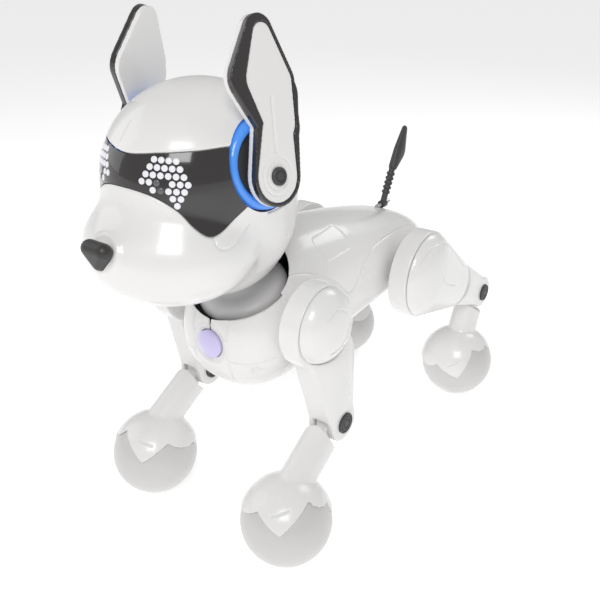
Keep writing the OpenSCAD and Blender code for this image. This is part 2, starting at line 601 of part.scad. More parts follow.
// Lower half of the foot: a solid pad with a flat sole and a slot for the wheel
module foot_pad(s, leg) color(pale) side(s) difference() {
    intersection() {
        translate(foot_at(leg)) sphere(r = foot_r - 0.9, $fn = 64);
        foot_cut(s, leg, part_gap);
        translate([0, leg[4] - 40, 0]) cube([120, 80, 60]);
    }
    translate([foot_x - 3.3, leg[4] - roller_r - 1, -1]) cube([6.6, 2 * roller_r + 2, 20]);
    translate([foot_x, leg[4], roller_r]) rotate([0, 90, 0])
        cylinder(r = 1.5 + run_gap, h = 14, center = true, $fn = 32);
}
module roller(s, leg) color([0.2, 0.2, 0.21]) side(s) translate([foot_x, leg[4], roller_r]) rotate([0, 90, 0]) {
    cylinder(r = roller_r, h = 5, center = true, $fn = 48);
    cylinder(r = 1.5, h = 12, center = true, $fn = 32);
}

// ---------------------------------------------------------------- all pieces

back_shell();
belly_shell();
battery_door();
battery_pack();
main_board();
speaker();
leg_motors();
neck_motor();
chest_light();
body_screws();
tail_pin();
power_switch();
tail_stem();
tail_cover();
neck_column();
neck_pin();
head_dome();
jaw_shell();
visor();
eye_board();
eye_leds();
nose();
ear_light_rings();
ear_bezels();
ear_shell(1);  // left_ear_shell
ear_frame(1);  // left_ear_frame
ear_panel(1);  // left_ear_panel
ear_pin(1);  // left_ear_pin
ear_shell(-1);  // right_ear_shell
ear_frame(-1);  // right_ear_frame
ear_panel(-1);  // right_ear_panel
ear_pin(-1);  // right_ear_pin
front_cover(1);  // front_left_thigh_cover
thigh_frame(1, front_leg, 25, front_bulges);  // front_left_thigh_frame
hip_shaft(1, front_leg);  // front_left_hip_shaft
knee_pin(1, front_leg);  // front_left_knee_pin
shin(1, front_leg);  // front_left_shin
foot_pad(1, front_leg);  // front_left_foot_pad
roller(1, front_leg);  // front_left_roller
front_cover(-1);  // front_right_thigh_cover
thigh_frame(-1, front_leg, 25, front_bulges);  // front_right_thigh_frame
hip_shaft(-1, front_leg);  // front_right_hip_shaft
knee_pin(-1, front_leg);  // front_right_knee_pin
shin(-1, front_leg);  // front_right_shin
foot_pad(-1, front_leg);  // front_right_foot_pad
roller(-1, front_leg);  // front_right_roller
rear_cover(1);  // rear_left_thigh_cover
thigh_frame(1, rear_leg, 30, rear_bulges);  // rear_left_thigh_frame
hip_shaft(1, rear_leg);  // rear_left_hip_shaft
knee_pin(1, rear_leg);  // rear_left_knee_pin
shin(1, rear_leg);  // rear_left_shin
foot_pad(1, rear_leg);  // rear_left_foot_pad
roller(1, rear_leg);  // rear_left_roller
rear_cover(-1);  // rear_right_thigh_cover
thigh_frame(-1, rear_leg, 30, rear_bulges);  // rear_right_thigh_frame
hip_shaft(-1, rear_leg);  // rear_right_hip_shaft
knee_pin(-1, rear_leg);  // rear_right_knee_pin
shin(-1, rear_leg);  // rear_right_shin
foot_pad(-1, rear_leg);  // rear_right_foot_pad
roller(-1, rear_leg);  // rear_right_roller
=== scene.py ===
"""Robot dog toy: the looks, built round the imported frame."""

import json
import math

import bmesh
import bpy
import numpy as np
from mathutils import Matrix, Vector


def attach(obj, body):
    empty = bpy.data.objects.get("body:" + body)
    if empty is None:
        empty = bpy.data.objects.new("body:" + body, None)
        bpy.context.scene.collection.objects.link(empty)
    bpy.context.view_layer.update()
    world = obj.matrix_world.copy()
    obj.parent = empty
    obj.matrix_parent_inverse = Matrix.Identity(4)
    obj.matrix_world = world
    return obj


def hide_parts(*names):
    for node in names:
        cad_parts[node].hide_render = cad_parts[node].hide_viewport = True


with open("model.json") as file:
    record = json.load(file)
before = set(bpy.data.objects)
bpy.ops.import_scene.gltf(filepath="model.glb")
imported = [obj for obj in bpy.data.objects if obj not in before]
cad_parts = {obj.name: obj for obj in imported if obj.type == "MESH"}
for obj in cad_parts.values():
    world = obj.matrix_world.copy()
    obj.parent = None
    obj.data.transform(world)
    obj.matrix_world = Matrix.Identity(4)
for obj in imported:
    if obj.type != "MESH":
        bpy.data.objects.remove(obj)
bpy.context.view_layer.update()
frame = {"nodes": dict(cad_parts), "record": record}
MM = 0.001

# ---------------------------------------------------------------- studio
# A pale sweep under soft boxes: a large key box high on the dog's left front,
# a broad fill on its right and a strip behind for the edge highlights.

scene = bpy.context.scene
scene.view_settings.view_transform = "Standard"
floor_mesh = bpy.data.meshes.new("floor")
floor_mesh.from_pydata([(-30, -30, 0), (30, -30, 0), (30, 30, 0), (-30, 30, 0)], [], [(0, 1, 2, 3)])
floor = bpy.data.objects.new("floor", floor_mesh)
scene.collection.objects.link(floor)
floor_paint = bpy.data.materials.new("floor_paint")
floor_paint.use_nodes = True
floor_paint.node_tree.nodes["Principled BSDF"].inputs["Base Color"].default_value = (0.93, 0.93, 0.93, 1)
floor_paint.node_tree.nodes["Principled BSDF"].inputs["Roughness"].default_value = 0.9
floor_paint.node_tree.nodes["Principled BSDF"].inputs["Emission Color"].default_value = (1, 1, 1, 1)
floor_paint.node_tree.nodes["Principled BSDF"].inputs["Emission Strength"].default_value = 0.42
floor_mesh.materials.append(floor_paint)

world = bpy.data.worlds.new("white_room")
world.use_nodes = True
world.node_tree.nodes["Background"].inputs["Color"].default_value = (1, 1, 1, 1)
world.node_tree.nodes["Background"].inputs["Strength"].default_value = 0.44
scene.world = world
for name, place, size, power in (
    ("key_box", (0.55, -0.95, 1.15), 0.6, 7.6),
    ("fill_box", (-0.9, -0.35, 0.6), 0.8, 1.6),
    ("back_strip", (0.1, 0.95, 0.9), 0.5, 2.4),
):
    lamp = bpy.data.lights.new(name, "AREA")
    lamp.size = size
    lamp.energy = power
    box = bpy.data.objects.new(name, lamp)
    box.location = place
    box.rotation_euler = (Vector((0, 0, 0.12)) - Vector(place)).to_track_quat("-Z", "Y").to_euler()
    scene.collection.objects.link(box)

camera_data = bpy.data.cameras.new("camera")
camera_data.lens = 45
camera_data.shift_x = -0.015
camera_data.shift_y = -0.00667
camera = bpy.data.objects.new("camera", camera_data)
camera_target = Vector((0, 0.005, 0.117))
camera_turn, camera_tilt, camera_distance = math.radians(35.9), math.radians(26.1), 0.5
camera.location = camera_target + camera_distance * Vector((
    math.sin(camera_turn) * math.cos(camera_tilt),
    -math.cos(camera_turn) * math.cos(camera_tilt),
    math.sin(camera_tilt),
))
camera.rotation_euler = (math.pi / 2 - camera_tilt, 0, camera_turn)
scene.collection.objects.link(camera)
scene.camera = camera

# ---------------------------------------------------------------- moulded plastics
# Every shell is injection moulded: a faint orange peel, slow drifts of shade where the wall
# thickness changes, and slightly uneven gloss from handling.

surface = bpy.data.node_groups.new("moulded_surface", "ShaderNodeTree")
for label, kind, value in (
    ("Base", "NodeSocketColor", (0.9, 0.9, 0.9, 1)),
    ("Drift", "NodeSocketColor", (0.85, 0.85, 0.85, 1)),
    ("Drift Scale", "NodeSocketFloat", 18.0),
    ("Roughness", "NodeSocketFloat", 0.2),
    ("Handling", "NodeSocketFloat", 0.08),
    ("Grain Scale", "NodeSocketFloat", 900.0),
    ("Grain Height", "NodeSocketFloat", 0.02),
):
    socket = surface.interface.new_socket(label, in_out="INPUT", socket_type=kind)
    socket.default_value = value
surface_outputs = {"Color": "NodeSocketColor", "Roughness": "NodeSocketFloat", "Normal": "NodeSocketVector"}
for label, kind in surface_outputs.items():
    surface.interface.new_socket(label, in_out="OUTPUT", socket_type=kind)
group_in = surface.nodes.new("NodeGroupInput")
group_out = surface.nodes.new("NodeGroupOutput")
place = surface.nodes.new("ShaderNodeTexCoord")
drift = surface.nodes.new("ShaderNodeTexNoise")
drift.inputs["Detail"].default_value = 3.0
drift_mix = surface.nodes.new("ShaderNodeMix")
drift_mix.data_type = "RGBA"
smears = surface.nodes.new("ShaderNodeTexNoise")
smears.inputs["Scale"].default_value = 60.0
smears.inputs["Detail"].default_value = 5.0
gloss = surface.nodes.new("ShaderNodeMath")
gloss.operation = "MULTIPLY_ADD"
grain = surface.nodes.new("ShaderNodeTexNoise")
grain.inputs["Detail"].default_value = 2.0
bump = surface.nodes.new("ShaderNodeBump")
bump.inputs["Distance"].default_value = 0.0002
for a, b in (
    (place.outputs["Object"], drift.inputs["Vector"]),
    (group_in.outputs["Drift Scale"], drift.inputs["Scale"]),
    (drift.outputs["Fac"], drift_mix.inputs["Factor"]),
    (group_in.outputs["Base"], drift_mix.inputs["A"]),
    (group_in.outputs["Drift"], drift_mix.inputs["B"]),
    (drift_mix.outputs["Result"], group_out.inputs["Color"]),
    (place.outputs["Object"], smears.inputs["Vector"]),
    (smears.outputs["Fac"], gloss.inputs[0]),
    (group_in.outputs["Handling"], gloss.inputs[1]),
    (group_in.outputs["Roughness"], gloss.inputs[2]),
    (gloss.outputs["Value"], group_out.inputs["Roughness"]),
    (place.outputs["Object"], grain.inputs["Vector"]),
    (group_in.outputs["Grain Scale"], grain.inputs["Scale"]),
    (grain.outputs["Fac"], bump.inputs["Height"]),
    (group_in.outputs["Grain Height"], bump.inputs["Strength"]),
    (bump.outputs["Normal"], group_out.inputs["Normal"]),
):
    surface.links.new(a, b)


def moulding(name, base, drift_to, rough, handling=0.08, grain_size=900.0, grain_height=0.02, coat=0.0,
             metallic=0.0):
    """Material whose colour, gloss and grain come from the moulded surface group."""
    made = bpy.data.materials.new(name)
    made.use_nodes = True
    tree = made.node_tree
    shader = tree.nodes["Principled BSDF"]
    skin = tree.nodes.new("ShaderNodeGroup")
    skin.node_tree = surface
    skin.inputs["Base"].default_value = (*base, 1)
    skin.inputs["Drift"].default_value = (*drift_to, 1)
    skin.inputs["Roughness"].default_value = rough
    skin.inputs["Handling"].default_value = handling
    skin.inputs["Grain Scale"].default_value = grain_size
    skin.inputs["Grain Height"].default_value = grain_height
    tree.links.new(skin.outputs["Color"], shader.inputs["Base Color"])
    tree.links.new(skin.outputs["Roughness"], shader.inputs["Roughness"])
    tree.links.new(skin.outputs["Normal"], shader.inputs["Normal"])
    shader.inputs["Coat Weight"].default_value = coat
    shader.inputs["Coat Roughness"].default_value = 0.06
    shader.inputs["Metallic"].default_value = metallic
    return made


white_shell = moulding("white_shell", (0.86, 0.855, 0.85), (0.80, 0.79, 0.78), 0.22, coat=0.35)
pale_shell = moulding("pale_shell", (0.70, 0.69, 0.69), (0.62, 0.61, 0.61), 0.30, coat=0.15)
# The soles are a slightly grey plastic, painted a good deal darker than the shell as painted shade for the
# undersides of the feet.
sole_grey_painted_shade = moulding("sole_grey_painted_shade", (0.66, 0.65, 0.64), (0.60, 0.59, 0.58), 0.32, coat=0.2)
black_gloss = moulding("black_gloss", (0.022, 0.020, 0.020), (0.032, 0.028, 0.028), 0.10, 0.05, coat=0.6)
black_matte = moulding("black_matte", (0.045, 0.044, 0.046), (0.060, 0.058, 0.058), 0.42, 0.10, 700.0, 0.10)
nose_rubber = moulding("nose_rubber", (0.030, 0.028, 0.028), (0.045, 0.042, 0.040), 0.33, 0.12, 500.0, 0.18)


# ---------------------------------------------------------------- body shells
# Two white mouldings, a back and a belly, meet on a joint line that arches over the shoulders
# and hips. The neck leaves through a round collar; four screws hold them from below.

def finish_piece(piece, body, material, replaced=()):
    """Paints a piece, shades it smooth except over sharp edges, and mounts it."""
    piece.data.materials.clear()
    piece.data.materials.append(material)
    piece.data.shade_smooth()
    piece.data.set_sharp_from_angle(angle=math.radians(38))
    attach(piece, body)
    if replaced:
        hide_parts(*replaced)


def strip(piece):
    """Applies every modifier of a piece to its mesh."""
    depsgraph = bpy.context.evaluated_depsgraph_get()
    depsgraph.update()
    settled = bpy.data.meshes.new_from_object(piece.evaluated_get(depsgraph))
    piece.modifiers.clear()
    old, piece.data = piece.data, settled
    bpy.data.meshes.remove(old)
    return piece


def carve(piece, *tools):
    """Cuts the tools out of a piece and removes them."""
    for tool in tools:
        cut = piece.modifiers.new("cut", "BOOLEAN")
        cut.operation = "DIFFERENCE"
        cut.solver = "MANIFOLD"
        cut.object = tool
        strip(piece)
        bpy.data.objects.remove(tool)
    return piece


def turned(profile, at, axis, count=96):
    """Points and faces of a closed profile [[radius, height] ...] in mm turned about an axis."""
    profile = np.asarray(profile, float)
    spin = np.arange(count) * 2 * math.pi / count
    ring = np.stack([np.cos(spin), np.sin(spin)], -1)
    local = np.concatenate([
        profile[:, None, 0:1] * ring[None], np.repeat(profile[:, None, 1:2], count, 1)
    ], -1).reshape(-1, 3)
    frame_of = np.array(Vector(axis).to_track_quat("Z", "Y").to_matrix())
    return local @ frame_of.T + np.asarray(at, float), quads(len(profile), count, wrap=True, close=True)


def quads(rows, cols, wrap=False, close=False, shift=0, flip=False):
    """Faces of a grid of points; wrap joins the last column to the first, close the last row to the first."""
    grid = np.arange(rows * cols).reshape(rows, cols) + shift
    if wrap:
        grid = np.concatenate([grid, grid[:, :1]], 1)
    if close:
        grid = np.concatenate([grid, grid[:1]], 0)
    made = np.stack([grid[:-1, :-1], grid[:-1, 1:], grid[1:, 1:], grid[1:, :-1]], -1).reshape(-1, 4)
    return made[:, ::-1] if flip else made


def walled(outer, inner, wrap=False):
    """Closed wall between two grids of points of the same shape."""
    rows, cols = outer.shape[:2]
    count = rows * cols
    grid = np.arange(count).reshape(rows, cols)
    faces = [quads(rows, cols, wrap), quads(rows, cols, wrap, shift=count, flip=True)]
    rims = [grid[0], grid[-1]] if wrap else [grid[0], grid[-1], grid[:, 0], grid[:, -1]]
    for rim in rims:
        loop = np.append(rim, rim[0]) if wrap else rim
        faces.append(np.stack([loop[:-1], loop[1:], loop[1:] + count, loop[:-1] + count], -1))
    return np.concatenate([outer.reshape(-1, 3), inner.reshape(-1, 3)]), np.concatenate(faces)


def normals_of(grid, wrap=False):
    """Outward unit normals of a grid of points round a body."""
    if wrap:
        padded = np.concatenate([grid[:, -1:], grid, grid[:, :1]], 1)
        across = (padded[:, 2:] - padded[:, :-2])
    else:
        across = np.gradient(grid, axis=1)
    along = np.gradient(grid, axis=0)
    made = np.cross(along, across)
    made /= np.linalg.norm(made, axis=-1, keepdims=True) + 1e-9
    outwards = grid - grid.reshape(-1, 3).mean(0)
    return made if (made * outwards).sum() > 0 else -made


def soft_step(x, edge, width):
    """1 well inside the edge and 0 well outside it."""
    t = np.clip((edge + width / 2 - x) / width, 0, 1)
    return t * t * (3 - 2 * t)


def away_from(points, path):
    """Distance of every point from a polyline's own points."""
    flat = points.reshape(-1, 3)
    made = np.full(len(flat), 1e9)
    low, high = path.min(0) - 3, path.max(0) + 3
    near = np.where(((flat > low) & (flat < high)).all(1))[0]
    for part in np.array_split(near, max(1, len(near) // 4000)):
        made[part] = np.sqrt(((flat[part, None] - path[None]) ** 2).sum(-1)).min(1)
    return made.reshape(points.shape[:-1])


def curved(points, count=60):
    """A smooth curve through 2-D points, evenly filled in."""
    points = np.asarray(points, float)
    ends = np.concatenate([points[:1] * 2 - points[1:2], points, points[-1:] * 2 - points[-2:-1]])
    made = []
    for i in range(1, len(ends) - 2):
        a, b, c, d = ends[i - 1:i + 3]
        t = np.linspace(0, 1, count)[:, None]
        made.append(0.5 * (2 * b + (c - a) * t + (2 * a - 5 * b + 4 * c - d) * t ** 2
                           + (3 * b - a - 3 * c + d) * t ** 3))
    return np.concatenate(made)


def solid(name, verts, faces):
    """Helper solid in millimetres, which cuts or is joined and is never shown by itself."""
    data = bpy.data.meshes.new(name)
    data.from_pydata((np.asarray(verts, float) * MM).tolist(), [], [tuple(int(i) for i in f) for f in faces])
    sheet = bmesh.new()
    sheet.from_mesh(data)
    bmesh.ops.remove_doubles(sheet, verts=sheet.verts, dist=1e-7)
    bmesh.ops.dissolve_degenerate(sheet, edges=sheet.edges, dist=1e-8)
    bmesh.ops.recalc_face_normals(sheet, faces=sheet.faces)
    sheet.to_mesh(data)
    sheet.free()
    made = bpy.data.objects.new(name, data)
    scene.collection.objects.link(made)
    return made


def block(low, high):
    """Points and faces of a box."""
    points = [(x, y, z) for x in (low[0], high[0]) for y in (low[1], high[1]) for z in (low[2], high[2])]
    faces = [(0, 1, 3, 2), (4, 6, 7, 5), (0, 4, 5, 1), (2, 3, 7, 6), (0, 2, 6, 4), (1, 5, 7, 3)]
    return np.array(points, float), faces


def prism(outline, low, high):
    """Points and faces of an outline [[x, y] ...] raised from low to high in z."""
    outline = np.asarray(outline, float)
    count = len(outline)
    points = np.concatenate([np.c_[outline, np.full(count, h)] for h in (low, high)])
    sides = [(i, (i + 1) % count, (i + 1) % count + count, i + count) for i in range(count)]
    return points, sides + [tuple(range(count)), tuple(range(2 * count - 1, count - 1, -1))]


def ball(at, r, thin=1.0, segments=56):
    """Points and faces of a sphere, thinned in x."""
    made = bmesh.new()
    bmesh.ops.create_uvsphere(made, u_segments=segments, v_segments=segments // 2, radius=r)
    points = np.array([v.co for v in made.verts]) * (thin, 1, 1) + at
    faces = [tuple(v.index for v in f.verts) for f in made.faces]
    made.free()
    return points, faces


def wrapped(*bodies):
    """Points and faces of the convex hull round several bodies."""
    made = bmesh.new()
    for points, _ in bodies:
        for p in points:
            made.verts.new(p)
    done = bmesh.ops.convex_hull(made, input=made.verts)
    loose = {v for v in done["geom_interior"] + done["geom_unused"] if isinstance(v, bmesh.types.BMVert)}
    bmesh.ops.delete(made, geom=list(loose), context="VERTS")
    made.verts.index_update()
    points = np.array([v.co for v in made.verts])
    faces = [tuple(v.index for v in f.verts) for f in made.faces]
    made.free()
    return points, faces


def rod_x(y, z, r, low, high, count=96):
    """Points and faces of a rod along x."""
    return turned([[0, 0], [r, 0], [r, high - low], [0, high - low]], (low, y, z), (1, 0, 0), count)


def mirrored(shape, s):
    points, faces = shape
    return np.asarray(points) * (s, 1, 1), faces


def moved(shape, matrix, at=(0, 0, 0)):
    points, faces = shape
    return np.asarray(points) @ np.array(matrix.to_3x3()).T + np.asarray(at, float), faces


def evened(piece, grain, rounds):
    """Rebuilds the mesh in even facets of a given size in mm and softens its edges."""
    remesh = piece.modifiers.new("even", "REMESH")
    remesh.mode = "VOXEL"
    remesh.voxel_size = grain * MM
    soften = piece.modifiers.new("soften", "SMOOTH")
    soften.factor = 0.5
    soften.iterations = rounds
    return strip(piece)


def blended(name, parts, cuts=(), grain=0.5, rounds=8, last=2):
    """One moulding from overlapping solids that flow together, with crisper cuts."""
    points = []
    faces = []
    for verts, polygons in parts:
        shift = sum(len(p) for p in points)
        points.append(np.asarray(verts, float))
        faces += [tuple(int(i) + shift for i in f) for f in polygons]
    piece = evened(solid(name, np.concatenate(points), faces), grain, rounds)
    if cuts:
        carve(piece, *[solid("cut", *c) for c in cuts])
        evened(piece, grain * 0.9, last)
    return piece


def traced(piece, path, axes, facing):
    """The points of a piece's surface under a path drawn in two axes, on the side that faces a way."""
    mesh = piece.data
    points = np.empty(len(mesh.vertices) * 3)
    mesh.vertices.foreach_get("co", points)
    points = points.reshape(-1, 3) / MM
    normals = np.empty(len(mesh.vertices) * 3)
    mesh.vertex_normals.foreach_get("vector", normals)
    shown = points[normals.reshape(-1, 3) @ np.asarray(facing, float) > 0.1]
    return np.stack([shown[((shown[:, axes] - p) ** 2).sum(1).argmin()] for p in path])


def engrave(piece, path, depth, width):
    """Presses a round-bottomed groove into a piece along a path of points in mm."""
    mesh = piece.data
    points = np.empty(len(mesh.vertices) * 3)
    mesh.vertices.foreach_get("co", points)
    points = points.reshape(-1, 3) / MM
    normals = np.empty(len(mesh.vertices) * 3)
    mesh.vertex_normals.foreach_get("vector", normals)
    distance = away_from(points, np.asarray(path, float))
    points -= normals.reshape(-1, 3) * groove(depth, distance, width)[:, None]
    mesh.vertices.foreach_set("co", (points * MM).ravel())
    mesh.update()
    return piece


middle = [[-92, 124], [-60, 127], [-10, 130], [50, 132], [124, 131]]
reach_up = [[-92, 34], [-58, 42], [-30, 46], [0, 44], [30, 38], [60, 31], [90, 24], [124, 20]]
reach_down = [[-92, 34], [-58, 38], [-38, 39], [0, 36], [40, 33], [90, 30], [124, 26]]
breadth = [[-92, 0.92], [-50, 1], [0, 0.985], [80, 0.97], [124, 0.88]]
joint_line = [[-92, 150], [-60, 160], [-42, 159], [-20, 148], [-3, 134], [14, 147], [36, 153],
              [84, 150], [110, 141], [124, 131.2]]
half_width, chest_end, rump_end, wall = 39.0, -92.0, 124.0, 2.2


def curve(table, x):
    """Smooth curve through a table of [place, value] rows, with flat ends."""
    px, py = np.asarray(table, float).T
    slope = np.zeros(len(px))
    slope[1:-1] = (py[2:] - py[:-2]) / (px[2:] - px[:-2])
    x = np.clip(x, px[0], px[-1])
    i = np.clip(np.searchsorted(px, x, side="right") - 1, 0, len(px) - 2)
    h = px[i + 1] - px[i]
    s = (x - px[i]) / h
    return (py[i] * (1 + 2 * s) * (1 - s) ** 2 + slope[i] * h * s * (1 - s) ** 2
            + py[i + 1] * s * s * (3 - 2 * s) - slope[i + 1] * h * s * s * (1 - s))


def end_round(y):
    chest = np.clip((chest_end + 36 - y) / 36, 0, 1)
    rump = np.clip((y - rump_end + 42) / 42, 0, 1)
    return np.maximum(0, 1 - chest ** 2.6) ** (1 / 2.6) * np.sqrt(np.maximum(0, 1 - rump ** 2))


def body_skin(y, a, inside=0.0):
    """Points of the body at y and section angle a in radians, 0 on the left and a quarter turn on top."""
    c = end_round(y)
    w = np.maximum(0.3, half_width * curve(breadth, y) * c - inside)
    reach = np.where(np.sin(a) >= 0, curve(reach_up, y), curve(reach_down, y))
    h = np.maximum(0.3, reach * c - inside)
    flat = lambda v: np.sign(v) * np.abs(v) ** 0.86
    return np.stack([w * flat(np.cos(a)), y + 0 * a, curve(middle, y) + h * flat(np.sin(a))], -1)


def joint_angle(y):
    height = np.maximum(0.5, curve(reach_up, y) * end_round(y))
    share = (curve(joint_line, y) - curve(middle, y)) / height
    return np.arcsin(np.clip(share, 0.001, np.where(y < -65, 0.9998, 0.97)) ** (1 / 0.86))


def body_rows(count, inside=0.0):
    u = (1 - np.cos(np.linspace(0, math.pi, count))) / 2
    v = 0.55 * u + 0.45 * np.linspace(0, 1, count)
    return chest_end + inside + 0.001 + (rump_end - chest_end - 2 * inside - 0.002) * v


def rounded_box(u, v, low, high, r):
    """Signed distance from a rectangle with round corners."""
    cu, cv = (low[0] + high[0]) / 2, (low[1] + high[1]) / 2
    du = np.abs(u - cu) - (high[0] - low[0]) / 2 + r
    dv = np.abs(v - cv) - (high[1] - low[1]) / 2 + r
    return np.hypot(np.maximum(du, 0), np.maximum(dv, 0)) + np.minimum(np.maximum(du, dv), 0) - r


def groove(depth, distance, width):
    """Round-bottomed groove's depth at a distance from its line."""
    return depth * np.exp(-(distance / width) ** 2)


def on_skin(points, flat_path, axes, keep):
    """The skin's own points nearest to a path drawn in two of its axes."""
    flat = points.reshape(-1, 3)
    flat = flat[keep(flat)]
    return np.stack([flat[((flat[:, axes] - p) ** 2).sum(1).argmin()] for p in flat_path[::3]])


def body_detail(skin):
    """How deep the moulded details lie at each point of the skin."""
    x, y, z = skin[..., 0], skin[..., 1], skin[..., 2]
    depth = np.zeros(x.shape)
    front = lambda f: f[:, 1] < -50
    chest_lines = (
        curved([(11, 156), (12.5, 140), (12, 126), (13, 112), (12, 100)]),
        curved([(12.8, 118), (24, 117), (35, 119)]),
        curved([(-11, 156), (-12.5, 140), (-12, 126), (-13, 112), (-12, 100)]),
        curved([(-12.8, 118), (-24, 117), (-35, 119)]),
    )
    for line in chest_lines:
        depth += groove(0.55, away_from(skin, on_skin(skin, line, [0, 2], front)), 0.55)
    for s in (-1, 1):
        screw = np.hypot(x - s * 27, z - 112) + 100 * (y > -50)
        depth += 0.9 * soft_step(screw, 2.3, 0.8) + groove(0.25, screw - 3.1, 0.4)
        side = (s * x > 8) & (z > 140)
        plate = rounded_box(y, z, (-22, 159), (8, 171), 3.5) + 100 * ~side
        depth += 0.55 * soft_step(plate, 0, 0.7)
    lens = np.hypot(x, z - 125) + 100 * (y > -60)
    depth += 1.3 * soft_step(lens, 11.0, 1.2) + groove(0.3, lens - 13.2, 0.45)
    return depth


neck_foot = np.array([0, -57, 139.5])
neck_lean = math.radians(22)
neck_up = np.array([0, -math.sin(neck_lean), math.cos(neck_lean)])
collar_at = neck_foot + 14 * neck_up
battery_door = ((-21, 1), (21, 56))


def body_shell(node, top, rows, cols):
    y = body_rows(rows)
    angle = joint_angle(y)
    start, stop = (angle, math.pi - angle) if top else (math.pi - angle, 2 * math.pi + angle)
    across = np.linspace(0, 1, cols)[None]
    a = start[:, None] + (stop - start)[:, None] * across
    outer = body_skin(y[:, None] + 0 * a, a)
    inner = body_skin(body_rows(rows, wall)[:, None] + 0 * a, a, wall)
    edge = np.minimum(across, 1 - across) * (stop - start)[:, None] * 34
    rolled = body_detail(outer) + 0.6 * np.clip(1 - edge / 0.9, 0, 1) ** 2
    outer = outer - normals_of(outer) * rolled[..., None]
    piece = solid(node + "_moulding", *walled(outer, inner))
    tilt = Matrix.Rotation(neck_lean, 3, "X")
    cuts = [
        turned([[0, -14], [30, -14], [30, 66], [0, 66]], collar_at, neck_up, 160),
        moved(block((-60, -90, 0), (60, 0, 60)), tilt, collar_at),
    ]
    if top:
        cuts.append(block((-60, -97, 60), (60, -67, 180)))
        cuts.append(block((-6, 93.8, 147), (6, 103, 175)))
    else:
        cuts.append(turned([[0, 0], [8.9, 0], [8.9, 40], [0, 40]], (0, -110, 125), (0, 1, 0)))
        (x0, y0), (x1, y1) = battery_door
        cuts.append(block((x0 - 0.3, y0 - 0.3, 80), (x1 + 0.3, y1 + 0.3, 110)))
        cuts.append(block((-2.4, -20.6, 80), (2.4, -11.4, 110)))
        cuts += [rod_x(y_hip, z_hip, 4, -60, 60, 64) for y_hip, z_hip in ((-58, 139), (64, 126))]
    carve(piece, *[solid("cut", *c) for c in cuts])
    finish_piece(piece, "body", white_shell, (node,))


body_shell("back_shell", True, 380, 200)
body_shell("belly_shell", False, 440, 300)

# ---------------------------------------------------------------- chest light
# A lavender lens sits in a dished seat in the middle of the chest; its face is drawn smooth, without the
# pattern of small dimples under it.

lavender_lens = moulding("lavender_lens", (0.58, 0.52, 0.86), (0.72, 0.68, 0.92), 0.16, coat=0.5)
lens_at = np.array([0, -92, 125])
lens_r, lens_curve, lens_rise = 8.5, 21, 1.75
lens_profile = [[0, -2], [lens_r, -2]]
for r in np.linspace(lens_r, 0, 14):
    lens_profile.append([r, lens_rise - lens_curve + math.sqrt(lens_curve ** 2 - r ** 2)])
lens = solid("chest_lens", *turned(lens_profile, lens_at, (0, -1, 0), 96))
finish_piece(lens, "body", lavender_lens, ("chest_light",))

# ---------------------------------------------------------------- neck
# A turned column leans forward out of the body, with a flared foot that turns on the
# motor's spigot and a blade on top that the head nods on.

neck_profile = [
    [0, -0.7], [9, -0.7], [9, 7.7], [26.1, 8.5], [26.5, 9.0], [26.5, 10.6], [26.2, 11.2], [25.4, 13],
    [24, 14.4], [21.5, 16], [18, 17.2], [15.8, 18.7], [14.4, 21], [13.6, 24], [13.2, 30], [13, 38],
    [10.8, 46], [8.6, 54], [8, 57], [0, 57],
]
neck = solid("neck_turning", *turned(neck_profile, neck_foot, neck_up, 160))
neck_tilt = Matrix.Rotation(neck_lean, 3, "X")
blade_room = [moved(block((x - 12, -20, 39), (x + 12, 20, 59)), neck_tilt, neck_foot) for x in (-20, 20)]
spigot_room = turned([[0, -2], [5.05, -2], [5.05, 16], [0, 16]], neck_foot, neck_up, 64)
carve(neck, *[solid("cut", *c) for c in blade_room + [spigot_room]])
finish_piece(neck, "neck", pale_shell, ("neck_column",))

# ---------------------------------------------------------------- head shells
# The head is a skull dome over a jaw with a muzzle, one smooth form split by a joint line that
# opens out into the visor's window. Round pods at the sides hold the ears.

head_at = np.array([0, -87, 206])
ovals = [[-90, 227.5, 46, 51.5, 45], [-77, 202, 39, 44.5, 47], [-115.5, 194, 45.5, 39.5, 28],
         [-115, 201, 17, 37, 15]]
visor_top = [[0, 38.5], [20, 40.5], [40, 42.5], [62, 44.5], [80, 43]]
visor_low = [[0, 24.5], [10, 24], [20, 21.8], [30, 16.5], [38, 8.5], [45, 4], [52, 5.5], [60, 10.5], [70, 17],
             [80, 24]]
visor_end, joint_lat = 78.0, 8.0
nose_at = np.array([0, -158.6, 203])
nod_at = neck_foot + 50 * neck_up


def head_point(lon, lat, inside=0.0):
    """Point of the head at a longitude and latitude in degrees; 0, 0 is straight ahead."""
    lon, lat = np.radians(lon), np.radians(lat)
    d = np.stack([np.sin(lon) * np.cos(lat), -np.cos(lon) * np.cos(lat), np.sin(lat) + 0 * lon], -1)
    total = 0
    for cy, cz, half_w, half_d, half_h in ovals:
        a = (d[..., 0] / half_w) ** 2 + (d[..., 1] / half_d) ** 2 + (d[..., 2] / half_h) ** 2
        p, q = (head_at[1] - cy) / half_d, (head_at[2] - cz) / half_h
        b = d[..., 1] / half_d * p + d[..., 2] / half_h * q
        total = total + ((-b + np.sqrt(b * b - a * (p * p + q * q - 1))) / a) ** 8
    return head_at + d * (total ** 0.125 - inside)[..., None]


def window_edge(lon, table):
    """Latitude of a shell's edge: the visor's window in front and the joint line behind."""
    lon = np.abs((lon + 180) % 360 - 180)
    fade = np.clip((lon - visor_end) / 8, 0, 1)
    return curve(table, np.minimum(lon, visor_end)) * (1 - fade) + joint_lat * fade


